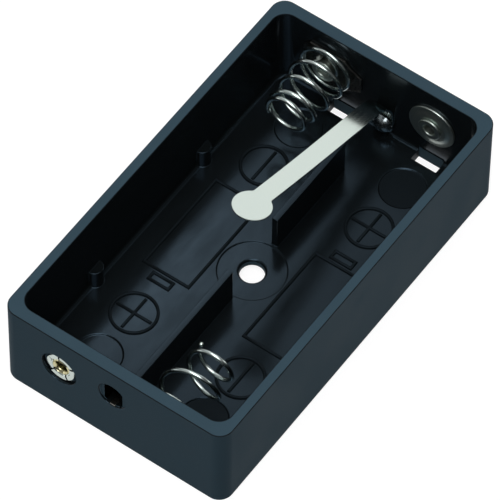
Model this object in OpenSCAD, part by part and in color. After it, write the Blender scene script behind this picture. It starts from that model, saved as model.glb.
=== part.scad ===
// Two-cell battery holder: an open moulded tray for two AA cells side by side,
// with riveted contacts, coil springs and a spring-steel strap that keeps the cells in.
// Millimetres. X is the width, Y the length with the strap's rivet at the back, Z up from the base.

/* [Tray] */
// outside length
box_length = 60; // [50:0.5:75]
// outside width
box_width = 34; // [30:0.5:45]
// height of the walls above the base
box_height = 14.5; // [10:0.25:20]
// thickness of the two long walls at the rim
side_wall = 1.35; // [0.8:0.05:2.5]
// thickness of the two end walls
end_wall = 1.8; // [1.2:0.05:3]
// how much thicker the long walls are at the floor than at the rim
side_draft = 0.3; // [0:0.05:0.8]
// thickness of the floor
floor_thickness = 1.75; // [1.2:0.05:3]
// radius of the outer upright corners
corner_radius = 2; // [1:0.1:5]
// radius of the inner upright corners
inner_corner_radius = 2; // [0.5:0.1:3]

/* [Floor] */
// thickness of the rib between the cells
rib_thickness = 0.9; // [0.6:0.05:2]
// height of the rib's top above the base
rib_top = 7.4; // [4:0.1:12]
// distance from the middle to where the front rib ends
front_rib_end = 4.85; // [4.6:0.05:10]
// distance from the middle to where the rear rib begins
rear_rib_start = 4.7; // [4.6:0.05:10]
// distance from the middle to where the rear rib ends
rear_rib_end = 19.9; // [12:0.1:24]
// diameter of the fixing screw hole in the middle
screw_hole_diameter = 3.3; // [2:0.1:5]
// diameter of the round seat for the screw head
screw_recess_diameter = 9.1; // [5:0.1:12]
// depth of the round seat for the screw head
screw_recess_depth = 0.15; // [0.05:0.05:1]
// chamfer at the top of the screw hole
screw_hole_chamfer = 0.25; // [0:0.05:0.6]
// straight length of the screw hole below its chamfer
screw_hole_land = 0.8; // [0.4:0.05:1.2]
// how far the underside's countersink is wider than the screw hole, all round
screw_countersink = 0.9; // [0:0.05:2]
// diameter of the four ejector rounds in the floor
ejector_diameter = 6.2; // [3:0.1:8]
// depth of the ejector rounds
ejector_depth = 0.15; // [0.05:0.05:0.4]
// distance of the ejector rounds from the middle along the length
ejector_y = 21.8; // [15:0.1:25]
// length of each window through the floor at the back wall
window_length = 3.85; // [2:0.05:6]
// width of each window through the floor at the back wall
window_width = 1.85; // [1:0.05:3]
// middle of the window in the left bay
left_window_x = -5.1; // [-12:0.05:-2]
// middle of the window in the right bay
right_window_x = 8.28; // [2:0.05:12]
// radius of the upright locating pips on the long walls
pip_radius = 1.2; // [0.5:0.05:2]
// height of the pips above the floor
pip_height = 3; // [1:0.1:6]
// distance from the middle of the pips nearer the corners
far_pip_y = 12.9; // [5:0.1:20]
// distance from the middle of the pips nearer the middle
near_pip_y = 10.4; // [5:0.1:20]

/* [Contacts] */
// distance of the contacts from the middle across the width
contact_x = 8.2; // [6:0.05:12]
// height of the contacts above the base
contact_z = 8.3; // [5:0.05:12]
// diameter of the round positive contacts
disc_diameter = 7; // [5:0.1:10]
// thickness of the sheet contacts
sheet_thickness = 0.3; // [0.2:0.05:0.6]
// how far the middle of a positive contact stands up from its rim
disc_dish = 0.25; // [0.1:0.05:0.8]
// diameter of the eyelets where they pass through a wall
eyelet_diameter = 2.4; // [1.5:0.05:4]
// diameter of the bore through the eyelets
eyelet_bore = 1.8; // [0.8:0.05:3]
// diameter of the eyelets' rolled heads
eyelet_head_diameter = 3.4; // [2.5:0.05:5]
// thickness of the eyelets' rolled heads
eyelet_head_thickness = 0.35; // [0.2:0.05:0.8]
// diameter of the flared rim of the terminal eyelet
flare_diameter = 4.4; // [3:0.05:6]
// height of the flared rim of the terminal eyelet
flare_height = 0.45; // [0.2:0.05:0.8]
// number of petals that the flared rim is split into
flare_petals = 5; // [3:1:8]
// diameter of the sinking round the positive terminal in the front wall
terminal_recess_diameter = 5.3; // [3:0.1:8]
// depth of the sinking round the positive terminal in the front wall
terminal_recess_depth = 0.8; // [0.2:0.05:1.2]
// distance of the negative terminal's sinking from the middle across the width
negative_terminal_x = 0; // [-4:0.05:4]
// height of the negative terminal's sinking above the base
negative_terminal_z = 9.5; // [5:0.05:12]
// diameter of the negative terminal's sinking
negative_recess_diameter = 4.2; // [3:0.1:8]
// depth of the negative terminal's sinking
negative_recess_depth = 0.3; // [0.1:0.05:1.2]
// width of the lug's window in the negative terminal's sinking
lug_window_width = 2.5; // [1:0.05:4]
// height of the lug's window in the negative terminal's sinking
lug_window_height = 4.1; // [1:0.05:5]
// half height of the spring plates
plate_half_height = 3.2; // [2:0.1:5]
// half width of the spring plates
plate_half_width = 3.7; // [2:0.1:5]
// cut corner of the spring plates
plate_corner = 1; // [0:0.1:2]
// height of the lug on the side of the back spring plate
back_lug_height = 2.6; // [1:0.1:4]
// height of the lug on the side of the front spring plate
terminal_lug_height = 1.6; // [1:0.1:4]
// reach of the back spring plate's lug from the contact's middle
lug_reach = 5.4; // [4.5:0.1:8]
// reach of the front spring plate's lug from the contact's middle
terminal_lug_reach = 8.05; // [5:0.05:9]

/* [Springs] */
// diameter of the spring wire
wire_diameter = 0.6; // [0.3:0.05:1.2]
// radius to the wire's middle at the back spring's base
back_base_radius = 3.6; // [2:0.05:5]
// radius to the wire's middle at the back spring's free end
back_tip_radius = 2.75; // [1.5:0.05:5]
// rise per turn of the back spring's open turns
back_pitch = 2.8; // [1:0.05:5]
// open turns of the back spring
back_turns = 3.1; // [1:0.1:8]
// end turns of the back spring
back_end_turns = 1; // [0.5:0.05:2]
// rise per turn of the back spring's end turns
back_end_pitch = 0.65; // [0.6:0.05:3]
// how far the back spring leans across along its length, mm per mm
back_lean_x = 0.04; // [-0.2:0.01:0.2]
// how far the back spring leans up along its length, mm per mm
back_lean_z = 0.08; // [-0.2:0.01:0.2]
// radius to the wire's middle at the front spring's base
front_base_radius = 4; // [2:0.05:5]
// radius to the wire's middle at the front spring's free end
front_tip_radius = 2.9; // [1.5:0.05:5]
// rise per turn of the front spring's open turns
front_pitch = 4.55; // [1:0.05:6]
// open turns of the front spring
front_turns = 1.6; // [1:0.1:8]
// end turns of the front spring
front_end_turns = 1.05; // [0.5:0.05:2]
// rise per turn of the front spring's end turns
front_end_pitch = 1.7; // [0.6:0.05:3]
// how far the front spring leans across along its length, mm per mm
front_lean_x = 0.05; // [-0.2:0.01:0.2]
// how far the front spring leans up along its length, mm per mm
front_lean_z = 0.04; // [-0.2:0.01:0.2]

/* [Strap] */
// distance of the strap from the middle across the width
strap_x = 0.85; // [-4:0.05:4]
// width of the strap
strap_width = 2.72; // [1.5:0.02:5]
// thickness of the strap
strap_thickness = 0.25; // [0.1:0.05:0.6]
// angle at which the strap rises from the base's plane
strap_rise = 18.5; // [0:0.5:45]
// radius of the bend at the strap's root
strap_bend_radius = 5.85; // [2:0.05:10]
// straight length of the strap from its bend to the kink before its round end
strap_length = 24.45; // [10:0.05:35]
// distance from the kink to the middle of the round end
strap_tip_reach = 2.4; // [1:0.1:5]
// diameter of the strap's round end
strap_tip_diameter = 5.2; // [3:0.1:10]
// angle at which the round end rises
strap_tip_rise = 12; // [-10:0.5:45]
// height of the strap's rivet above the base
rivet_z = 3.5; // [2.5:0.05:6]
// diameter of the rivet's domed head
rivet_head_diameter = 3.2; // [2:0.05:5]
// height of the rivet's domed head
rivet_head_height = 1.2; // [0.4:0.05:2]
// diameter of the rivet's shank
rivet_shank_diameter = 1.5; // [0.8:0.05:3]

/* [Show] */
// the sub-part that is shown

/* [Hidden] */
$fn = 48;
cut = 0.5;              // how far cutting shapes run past a face
seat = 0.02;            // clearance between pieces that lie on each other
hole_clearance = 0.05;  // radial clearance round what passes through a wall
inner_y = box_length / 2 - end_wall;
inner_x = box_width / 2 - side_wall;
floor_x = inner_x - side_draft;
wire = wire_diameter;
wire_sides = 8;         // facets round the wire
turn_steps = 24;        // steps along one turn of a coil
link_channel_depth = 0.65;
link_height = 4.6;
link_margin = 0.15;
channel_y = box_length / 2 - link_channel_depth;
eyelet_tail = 0.3;
tail_pocket_depth = eyelet_tail + seat;
lug_window_shift = 0.05; // how far the lug's window lies to the right in its sinking
tab_width = 0.8;
tab_reach = 1.75;
coil_rise = wire + seat;
hook_radius = eyelet_diameter / 2 + seat + wire / 2;
back_spring_y = inner_y - 2 * seat - sheet_thickness - wire / 2;
front_spring_y = -back_spring_y;
back_phase = 166;
front_phase = 30;
back_coil_shift = [0.3, 0.6];
front_coil_shift = [-1.2, 0.85];
hook_end = 0.5;         // turn at which the hook round the eyelet widens
base_start = 1;         // turn at which the closed base turn starts
open_start = base_start + 1;
lip = 0.12;             // small radius-like steps on the eyelets' rims
disc_flat = 0.3;        // flat ring left round an eyelet's head on a dished contact
disc_rim = 0.4;         // flat rim of a dished contact
petal_gap = 0.24;
petal_turn = 20;
head_relief = 0.12;     // how far the rivet head's brim stands off the strap
head_bearing = 1.1;     // radius of the rivet head's flat bearing on the strap
upset_width = 0.5;      // how far the upset end of the strap's rivet overhangs its shank
upset_height = 0.4;
upset_reach = 0.2;      // how far the shank runs into its upset end
foot_rise = 0.9;        // straight part of the strap's foot above its rivet
housing_black = [0.16, 0.18, 0.2];
nickel = [0.72, 0.73, 0.72];
steel = [0.62, 0.63, 0.64];
pale_steel = [0.85, 0.87, 0.86];

// A rounded rectangle with true arcs at its corners.
module rounded_plan(width, length, radius) {
    square([width - 2 * radius, length], center = true);
    square([width, length - 2 * radius], center = true);
    for (sx = [-1, 1], sy = [-1, 1])
        translate([sx * (width / 2 - radius), sy * (length / 2 - radius)])
            circle(r = radius);
}

// A cylinder whose axis runs along +Y from y = 0.
module along_y(radius, length, sides = 48) {
    rotate([-90, 0, 0])
        cylinder(r = radius, h = length, $fn = sides);
}

// The space inside the walls: upright end walls and long walls with a little draft.
module cavity() {
    intersection() {
        translate([0, 0, floor_thickness])
            linear_extrude(height = box_height)
                rounded_plan(2 * inner_x, 2 * inner_y, inner_corner_radius);
        rotate([90, 0, 0])
            linear_extrude(height = box_length, center = true)
                polygon([[-floor_x, floor_thickness], [floor_x, floor_thickness],
                    [inner_x, box_height], [inner_x, box_height + cut],
                    [-inner_x, box_height + cut], [-inner_x, box_height]]);
    }
}

module ribs() {
    translate([-rib_thickness / 2, -inner_y - cut, floor_thickness - cut])
        cube([rib_thickness, inner_y + cut - front_rib_end, rib_top - floor_thickness + cut]);
    translate([-rib_thickness / 2, rear_rib_start, floor_thickness - cut])
        cube([rib_thickness, rear_rib_end - rear_rib_start, rib_top - floor_thickness + cut]);
}

module pips() {
    for (side = [-1, 1], place = [-far_pip_y, near_pip_y])
        intersection() {
            translate([side * floor_x, -side * place, floor_thickness - cut])
                cylinder(r = pip_radius, h = pip_height + cut, $fn = 32);
            translate([-inner_x - cut, -box_length / 2, 0])
                cube([2 * inner_x + 2 * cut, box_length, box_height]);
        }
}

module screw_seat() {
    land_bottom = floor_thickness - screw_recess_depth - screw_hole_chamfer - screw_hole_land;
    translate([0, 0, -cut])
        cylinder(d = screw_hole_diameter, h = floor_thickness + 2 * cut);
    translate([0, 0, -cut])
        cylinder(d = screw_hole_diameter + 2 * screw_countersink, h = cut + seat);
    translate([0, 0, seat])
        cylinder(d1 = screw_hole_diameter + 2 * screw_countersink, d2 = screw_hole_diameter,
            h = land_bottom - seat);
    translate([0, 0, floor_thickness - screw_recess_depth])
        cylinder(d = screw_recess_diameter, h = screw_recess_depth + cut, $fn = 96);
    translate([0, 0, floor_thickness - screw_recess_depth - screw_hole_chamfer])
        cylinder(d1 = screw_hole_diameter, d2 = screw_hole_diameter + 2 * screw_hole_chamfer,
            h = screw_hole_chamfer);
}

module floor_cuts() {
    for (sx = [-1, 1], sy = [-1, 1])
        translate([sx * contact_x, sy * ejector_y, floor_thickness - ejector_depth])
            cylinder(d = ejector_diameter, h = ejector_depth + cut);
    for (middle = [left_window_x, right_window_x])
        translate([middle - window_length / 2, inner_y - window_width, -cut])
            cube([window_length, window_width, floor_thickness + 2 * cut]);
}

// Everything cut through or into the two end walls.
module wall_cuts() {
    hole_radius = eyelet_diameter / 2 + hole_clearance;
    for (side = [-1, 1])
        translate([side * contact_x, inner_y - cut, contact_z])
            along_y(hole_radius, end_wall + 2 * cut);
    translate([0, channel_y, contact_z])
        rotate([-90, 0, 0])
            linear_extrude(height = link_channel_depth + cut)
                link_plan(link_height / 2 + link_margin);
    translate([-contact_x, -box_length / 2 - cut, contact_z])
        along_y(hole_radius, end_wall + 2 * cut);
    translate([-contact_x, -box_length / 2 - cut, contact_z])
        along_y(terminal_recess_diameter / 2, terminal_recess_depth + cut);
    translate([negative_terminal_x, -box_length / 2 - cut, negative_terminal_z])
        along_y(negative_recess_diameter / 2, negative_recess_depth + cut);
    intersection() {
        translate([negative_terminal_x + lug_window_shift - lug_window_width / 2, -box_length / 2 - cut,
            negative_terminal_z - lug_window_height / 2])
            cube([lug_window_width, end_wall + 2 * cut, lug_window_height]);
        translate([negative_terminal_x, -box_length / 2 - cut, negative_terminal_z])
            along_y(negative_recess_diameter / 2, end_wall + 2 * cut);
    }
    translate([contact_x, -inner_y - tail_pocket_depth, contact_z])
        along_y(eyelet_head_diameter / 2, tail_pocket_depth + cut);
    translate([strap_x, inner_y - cut, rivet_z])
        along_y(rivet_shank_diameter / 2 + hole_clearance, end_wall + 2 * cut);
    translate([strap_x, channel_y, rivet_z])
        along_y(rivet_shank_diameter / 2 + upset_width + link_margin, link_channel_depth + cut);
}

// A long plate with round ends, centred on the two back contacts.
module link_plan(radius) {
    square([2 * contact_x, 2 * radius], center = true);
    for (side = [-1, 1])
        translate([side * contact_x, 0])
            circle(r = radius);
}

// Keeps the front rib clear of the front plate's lug, which passes over it.
module rib_lug_slot() {
    bottom = contact_z - terminal_lug_height / 2 - hole_clearance;
    translate([-rib_thickness, -inner_y, bottom])
        cube([2 * rib_thickness, 2 * sheet_thickness, max(cut, rib_top + cut - bottom)]);
}

module housing() {
    color(housing_black)
        difference() {
            union() {
                difference() {
                    linear_extrude(height = box_height)
                        rounded_plan(box_width, box_length, corner_radius);
                    cavity();
                }
                ribs();
                pips();
            }
            screw_seat();
            floor_cuts();
            wall_cuts();
            rib_lug_slot();
        }
}

// A stamped plate under a coil spring, standing in the XZ plane with its lug towards +X.
module spring_plate_plan(reach, lug_height) {
    half_lug = lug_height / 2;
    difference() {
        union() {
            polygon([[-plate_half_width + plate_corner, plate_half_height],
                [plate_half_width - plate_corner, plate_half_height],
                [plate_half_width, plate_half_height - plate_corner],
                [lug_reach, half_lug], [lug_reach, -half_lug],
                [plate_half_width, plate_corner - plate_half_height],
                [plate_half_width - plate_corner, -plate_half_height],
                [plate_corner - plate_half_width, -plate_half_height],
                [-plate_half_width, plate_corner - plate_half_height],
                [-plate_half_width, plate_half_height - plate_corner]]);
            translate([0, -half_lug])
                square([reach, lug_height]);
        }
        circle(d = eyelet_diameter + 2 * hole_clearance);
    }
}

// Stands a flat plan up against a wall: side = 1 at the back, -1 at the front.
module against_wall(x, side) {
    translate([x, side * (inner_y - seat), contact_z])
        rotate([90, 0, 0])
            translate([0, 0, side > 0 ? 0 : -sheet_thickness])
                linear_extrude(height = sheet_thickness)
                    children();
}

module back_spring_plate() {
    color(nickel)
        against_wall(-contact_x, 1)
            spring_plate_plan(lug_reach, back_lug_height);
}

module front_spring_plate() {
    color(nickel) {
        against_wall(contact_x, -1)
            mirror([1, 0])
                spring_plate_plan(terminal_lug_reach, terminal_lug_height);
        translate([contact_x - terminal_lug_reach - tab_width + sheet_thickness, -inner_y - tab_reach + seat,
            contact_z - terminal_lug_height / 2])
            cube([tab_width, tab_reach + sheet_thickness, sheet_thickness]);
    }
}

// A round dished contact along +Y: its rim lies at y = 0 and its middle stands up towards +Y.
module dished_contact() {
    hole = eyelet_diameter / 2 + hole_clearance;
    rim = disc_diameter / 2;
    flat = eyelet_head_diameter / 2 + disc_flat;
    rotate([-90, 0, 0])
        rotate_extrude()
            polygon([[hole, disc_dish], [flat, disc_dish], [rim - disc_rim, 0], [rim, 0],
                [rim, sheet_thickness], [rim - disc_rim, sheet_thickness],
                [flat, disc_dish + sheet_thickness], [hole, disc_dish + sheet_thickness]]);
}

module right_disc() {
    color(nickel)
        translate([contact_x, inner_y - seat, contact_z])
            rotate([0, 0, 180])
                dished_contact();
}

module left_disc() {
    color(nickel)
        translate([-contact_x, seat - inner_y, contact_z])
            dished_contact();
}

// A tubular eyelet along +Y: its rolled head ends at y = 0 and its tail is turned over at the far end.
module eyelet(grip) {
    bore = eyelet_bore / 2;
    shank = eyelet_diameter / 2;
    head = eyelet_head_diameter / 2;
    tail = head - lip;
    round_over = eyelet_head_thickness / 2;
    rotate([-90, 0, 0])
        rotate_extrude()
            polygon([[bore, -round_over], [bore + lip, -eyelet_head_thickness],
                [head - round_over, -eyelet_head_thickness], [head, -round_over], [head - lip, 0],
                [shank, 0], [shank, grip], [tail, grip], [tail, grip + eyelet_tail],
                [bore, grip + eyelet_tail]]);
}

module back_spring_eyelet() {
    head_y = back_spring_y - wire / 2 - seat;
    color(nickel)
        translate([-contact_x, head_y, contact_z])
            eyelet(channel_y + 2 * seat + sheet_thickness - head_y);
}

module right_disc_eyelet() {
    head_y = inner_y - 2 * seat - disc_dish - sheet_thickness;
    color(nickel)
        translate([contact_x, head_y, contact_z])
            eyelet(channel_y + 2 * seat + sheet_thickness - head_y);
}

// The front spring is riveted to its plate; the turned-over tail lies in a pocket of the wall.
module front_spring_eyelet() {
    head_y = back_spring_y - wire / 2 - seat;
    color(nickel)
        translate([contact_x, -head_y, contact_z])
            rotate([0, 0, 180])
                eyelet(inner_y - head_y);
}

// The front eyelet's outer end is flared and split into petals for a soldered lead.
module terminal_eyelet() {
    head_y = inner_y - 2 * seat - disc_dish - sheet_thickness;
    grip = box_length / 2 - terminal_recess_depth + seat - head_y;
    bore = eyelet_bore / 2;
    shank = eyelet_diameter / 2;
    head = eyelet_head_diameter / 2;
    flare = flare_diameter / 2;
    round_over = eyelet_head_thickness / 2;
    color(nickel)
        translate([-contact_x, -head_y, contact_z])
            rotate([90, 0, 0])
                difference() {
                    rotate_extrude()
                        polygon([[bore, -round_over], [bore + lip, -eyelet_head_thickness],
                            [head - round_over, -eyelet_head_thickness], [head, -round_over],
                            [head - lip, 0], [shank, 0], [shank, grip], [flare - lip, grip + lip],
                            [flare, grip + 2 * lip], [flare - 2 * lip, grip + flare_height],
                            [shank + lip, grip + 2 * lip], [bore, grip]]);
                    for (petal = [0 : flare_petals - 1])
                        rotate([0, 0, petal_turn + petal * 360 / flare_petals])
                            translate([shank, -petal_gap / 2, grip - lip])
                                cube([flare, petal_gap, flare_height + 2 * lip]);
                }
}

module link_strip() {
    color(nickel)
        translate([0, channel_y + seat, contact_z])
            rotate([-90, 0, 0])
                linear_extrude(height = sheet_thickness)
                    difference() {
                        link_plan(link_height / 2);
                        for (side = [-1, 1])
                            translate([side * contact_x, 0])
                                circle(d = eyelet_diameter + 2 * hole_clearance);
                    }
}

// A coil spring starts with a hook round its eyelet, runs out to its closed base turn, rises in
// open turns and ends in its end turns. Each table gives a value against the turn.
function radius_table(base, tip, turns, end_turns) = [[0, hook_radius], [hook_end, hook_radius],
    [base_start, base], [open_start, base], [open_start + turns, tip + wire / 4],
    [open_start + turns + end_turns, tip]];

function rise_table(pitch, turns, end_pitch, end_turns) = [[0, 0], [base_start, 0],
    [open_start, coil_rise], [open_start + turns, coil_rise + pitch * turns],
    [open_start + turns + end_turns, coil_rise + pitch * turns + end_pitch * end_turns]];

// The coil's middle moves off the eyelet's while the hook widens; direction is 1 towards +Y.
function coil_point(turn, radii, rises, shift, lean, start, direction, angle) =
    let (radius = lookup(turn, radii), rise = lookup(turn, rises),
        away = lookup(turn, [[hook_end, 0], [base_start, 1]]))
    [shift[0] * away + lean[0] * rise + radius * cos(angle), start + direction * rise,
        shift[1] * away + lean[1] * rise + radius * sin(angle)];

// phase is the angle at which the open turns begin.
module coil_spring(radii, rises, shift, lean, start, direction, phase) {
    last = radii[len(radii) - 1][0];
    steps = ceil(last * turn_steps);
    spin = -direction * 360;
    path = [for (i = [0 : steps])
        let (turn = last * i / steps)
        coil_point(turn, radii, rises, shift, lean, start, direction,
            phase + spin * (turn - open_start))];
    frames = [for (i = [0 : steps])
        let (before = path[max(i - 1, 0)], after = path[min(i + 1, steps)],
            along = (after - before) / norm(after - before),
            across = cross(along, [0, 1, 0]),
            side = across / norm(across))
        [side, cross(side, along)]];
    points = [for (i = [0 : steps], k = [0 : wire_sides - 1])
        let (a = 360 * k / wire_sides)
        path[i] + wire / 2 * (cos(a) * frames[i][0] + sin(a) * frames[i][1])];
    walls = [for (i = [0 : steps - 1], k = [0 : wire_sides - 1])
        let (m = (k + 1) % wire_sides, a = i * wire_sides)
        [a + k, a + m, a + wire_sides + m, a + wire_sides + k]];
    first_end = [for (k = [wire_sides - 1 : -1 : 0]) k];
    last_end = [for (k = [0 : wire_sides - 1]) steps * wire_sides + k];
    polyhedron(points, concat(walls, [first_end], [last_end]), convexity = 10);
}

module back_spring() {
    color(steel)
        translate([-contact_x, 0, contact_z])
            coil_spring(radius_table(back_base_radius, back_tip_radius, back_turns, back_end_turns),
                rise_table(back_pitch, back_turns, back_end_pitch, back_end_turns),
                back_coil_shift, [back_lean_x, back_lean_z], back_spring_y, -1, back_phase);
}

module front_spring() {
    color(steel)
        translate([contact_x, 0, contact_z])
            coil_spring(radius_table(front_base_radius, front_tip_radius, front_turns, front_end_turns),
                rise_table(front_pitch, front_turns, front_end_pitch, front_end_turns),
                front_coil_shift, [front_lean_x, front_lean_z], front_spring_y, 1, front_phase);
}

// The strap's back face lies on the wall; its bend and leaf are drawn in the YZ plane.
module retaining_strap() {
    back_y = inner_y - seat;
    leg_top = rivet_z + foot_rise;
    bend_y = back_y - strap_bend_radius;
    sweep = 90 - strap_rise;
    end_y = bend_y + strap_bend_radius * cos(sweep);
    end_z = leg_top + strap_bend_radius * sin(sweep);
    t = strap_thickness;
    kink_y = end_y - strap_length * cos(strap_rise);
    kink_z = end_z + strap_length * sin(strap_rise);
    color(pale_steel)
        translate([strap_x, 0, 0]) {
            difference() {
                union() {
                    translate([-strap_width / 2, back_y - t, rivet_z])
                        cube([strap_width, t, leg_top - rivet_z]);
                    translate([0, back_y - t, rivet_z])
                        along_y(strap_width / 2, t);
                }
                translate([0, back_y - t - cut, rivet_z])
                    along_y(rivet_shank_diameter / 2 + hole_clearance, t + 2 * cut);
            }
            translate([0, bend_y, leg_top])
                rotate([90, 0, 90])
                    rotate_extrude(angle = sweep, $fn = 96)
                        translate([strap_bend_radius - t, -strap_width / 2])
                            square([t, strap_width]);
            translate([0, end_y, end_z])
                rotate([-strap_rise, 0, 0])
                    translate([-strap_width / 2, -strap_length, -t])
                        cube([strap_width, strap_length + seat, t]);
            translate([0, kink_y, kink_z])
                rotate([-strap_tip_rise, 0, 0])
                    translate([0, 0, -t]) {
                        translate([-strap_width / 2, -strap_tip_reach, 0])
                            cube([strap_width, strap_tip_reach + seat, t]);
                        translate([0, -strap_tip_reach, 0])
                            cylinder(d = strap_tip_diameter, h = t);
                    }
        }
}

// A domed rivet that clamps the strap's foot to the back wall.
module strap_rivet() {
    under = inner_y - 2 * seat - strap_thickness;
    half = rivet_head_diameter / 2;
    dome = (half * half + rivet_head_height * rivet_head_height) / (2 * rivet_head_height);
    grip = channel_y + seat - under;
    color(nickel)
        translate([strap_x, under, rivet_z]) {
            intersection() {
                translate([0, dome - rivet_head_height, 0])
                    sphere(r = dome);
                union() {
                    translate([0, -rivet_head_height, 0])
                        along_y(half, rivet_head_height - head_relief);
                    rotate([-90, 0, 0])
                        translate([0, 0, -head_relief])
                            cylinder(r1 = half, r2 = head_bearing, h = head_relief);
                }
            }
            along_y(rivet_shank_diameter / 2, grip + upset_reach);
            translate([0, grip, 0])
                along_y(rivet_shank_diameter / 2 + upset_width, upset_height);
        }
}

housing();
link_strip();
back_spring();
back_spring_plate();
back_spring_eyelet();
right_disc();
right_disc_eyelet();
left_disc();
terminal_eyelet();
front_spring();
front_spring_plate();
front_spring_eyelet();
retaining_strap();
strap_rivet();
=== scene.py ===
"""Dresses a two-cell battery holder: a glossy black moulded tray, riveted nickel contacts,
coil springs and a sprung steel strap. Sizes are in metres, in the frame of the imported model."""

import math

import bmesh
import bpy
from mathutils import Matrix, Vector


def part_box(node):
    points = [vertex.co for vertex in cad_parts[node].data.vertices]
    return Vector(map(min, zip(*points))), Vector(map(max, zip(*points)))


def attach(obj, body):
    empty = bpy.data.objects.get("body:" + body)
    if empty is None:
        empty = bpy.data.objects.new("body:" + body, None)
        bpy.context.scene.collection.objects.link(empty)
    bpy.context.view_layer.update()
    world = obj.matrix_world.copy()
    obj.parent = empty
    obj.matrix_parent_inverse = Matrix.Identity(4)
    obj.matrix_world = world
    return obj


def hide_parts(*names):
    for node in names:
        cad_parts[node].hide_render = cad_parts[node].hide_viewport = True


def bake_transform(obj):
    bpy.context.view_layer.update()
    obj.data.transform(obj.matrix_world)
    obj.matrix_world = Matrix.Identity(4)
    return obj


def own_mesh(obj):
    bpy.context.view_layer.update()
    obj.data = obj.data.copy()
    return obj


bl_info = {
    "name": "Two-Cell Battery Holder",
    "version": (1, 0, 0),
    "blender": (4, 5, 0),
    "location": "3D View > Sidebar > Holder",
    "description": "Builds the dressed parts of an open two-cell battery holder",
    "category": "Object",
}

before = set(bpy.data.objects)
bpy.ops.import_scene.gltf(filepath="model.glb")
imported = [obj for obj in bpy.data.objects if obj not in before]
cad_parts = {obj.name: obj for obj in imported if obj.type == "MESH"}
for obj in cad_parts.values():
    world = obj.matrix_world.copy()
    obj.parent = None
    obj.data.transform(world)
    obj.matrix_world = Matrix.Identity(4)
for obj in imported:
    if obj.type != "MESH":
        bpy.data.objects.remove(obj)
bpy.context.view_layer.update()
TRAY_LOW, TRAY_HIGH = (Vector(corner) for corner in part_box("housing"))
MM = 0.001
PLAY = 0.05 * MM        # clearance of a bore round what goes through it
ROOM = 3 * PLAY         # clearance round what lies in a sinking
PAST = 1 * MM           # how far a cutting tool reaches past what it cuts
UPSET = 0.5 * MM        # how far the rivet's upset tail stands out round its shank
SAME_SPOT = 1e-7        # vertices closer than this are one


# ---- small helpers ---------------------------------------------------------------------------

def linear(code):
    """An sRGB hex code as linear red, green and blue."""
    channels = [int(code[i:i + 2], 16) / 255 for i in (1, 3, 5)]
    return [c / 12.92 if c <= 0.04045 else ((c + 0.055) / 1.055) ** 2.4 for c in channels]


def length(name, millimetres, words):
    """A size in millimetres that is never below zero."""
    return bpy.props.FloatProperty(name=name, description=words, default=millimetres * MM,
                                   unit="LENGTH", precision=5, min=0.0)


def place(name, millimetres, words):
    """A place in millimetres, on either side of the middle."""
    return bpy.props.FloatProperty(name=name, description=words, default=millimetres * MM,
                                   unit="LENGTH", precision=5)


def angle(name, degrees, words):
    """An angle in degrees."""
    return bpy.props.FloatProperty(name=name, description=words, default=math.radians(degrees),
                                   unit="ROTATION")


def number(name, value, words):
    """A plain number."""
    return bpy.props.FloatProperty(name=name, description=words, default=value)


def colour(name, code, words):
    """A colour from its sRGB hex code."""
    return bpy.props.FloatVectorProperty(name=name, description=words, default=linear(code),
                                         subtype="COLOR", min=0.0, max=1.0)


def into_scene(name, data):
    """A new object in the scene."""
    thing = bpy.data.objects.new(name, data)
    bpy.context.scene.collection.objects.link(thing)
    return thing


def mesh_from(bm, name):
    """Closes a bmesh as a mesh whose faces all look outward."""
    bmesh.ops.recalc_face_normals(bm, faces=bm.faces[:])
    mesh = bpy.data.meshes.new(name)
    bm.to_mesh(mesh)
    bm.free()
    return mesh


def bmesh_from(mesh, spare=True):
    """Opens a mesh as a bmesh; a spare mesh goes."""
    bm = bmesh.new()
    bm.from_mesh(mesh)
    if spare:
        bpy.data.meshes.remove(mesh)
    return bm


def finish_piece(name, bm, materials, body="holder", smooth=35, replaces=()):
    """Turns a bmesh into a finished piece that rides on a body, or on none yet."""
    bmesh.ops.remove_doubles(bm, verts=bm.verts[:], dist=SAME_SPOT)
    return finish_mesh(name, mesh_from(bm, name), materials, body, smooth, replaces)


def finish_mesh(name, mesh, materials, body="holder", smooth=35, replaces=()):
    """Gives a mesh its object, materials and body, and hides the parts it replaces."""
    mesh.name = name
    # clearing a mesh's materials also clears which face wears which
    worn = [min(face.material_index, len(materials) - 1) for face in mesh.polygons]
    mesh.materials.clear()
    for material in materials:
        mesh.materials.append(material)
    mesh.polygons.foreach_set("material_index", worn)
    mesh.shade_smooth()
    mesh.set_sharp_from_angle(angle=math.radians(smooth))
    piece = into_scene(name, mesh)
    if body:
        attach(piece, body)
    if replaces:
        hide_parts(*replaces)
    weigh = piece.modifiers.new("Even shading", "WEIGHTED_NORMAL")
    weigh.keep_sharp = True
    weigh.weight = 100
    return piece


def loose_object(bm):
    """A bmesh as an object for a cut or a join."""
    return into_scene("tool", mesh_from(bm, "tool"))


def baked(thing):
    """The mesh of an object with its modifiers applied; the object goes."""
    depsgraph = bpy.context.evaluated_depsgraph_get()
    mesh = bpy.data.meshes.new_from_object(thing.evaluated_get(depsgraph))
    bpy.data.objects.remove(thing)
    return mesh


def combine(thing, tools, operation):
    """Cuts bmesh tools out of an object, or joins them to it."""
    tools = [loose_object(bm) for bm in tools]
    for tool in tools:
        step = thing.modifiers.new(operation.title(), "BOOLEAN")
        step.operation = operation
        step.solver = "EXACT"
        step.object = tool
    mesh = baked(thing)
    for tool in tools:
        bpy.data.objects.remove(tool)
    return into_scene("joined", mesh)


def round_edges(bm, edges, radius, segments):
    """Rounds some edges of a bmesh."""
    bmesh.ops.bevel(bm, geom=edges, offset=radius, offset_type="OFFSET", segments=segments,
                    profile=0.5, affect="EDGES", material=-1)


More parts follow.
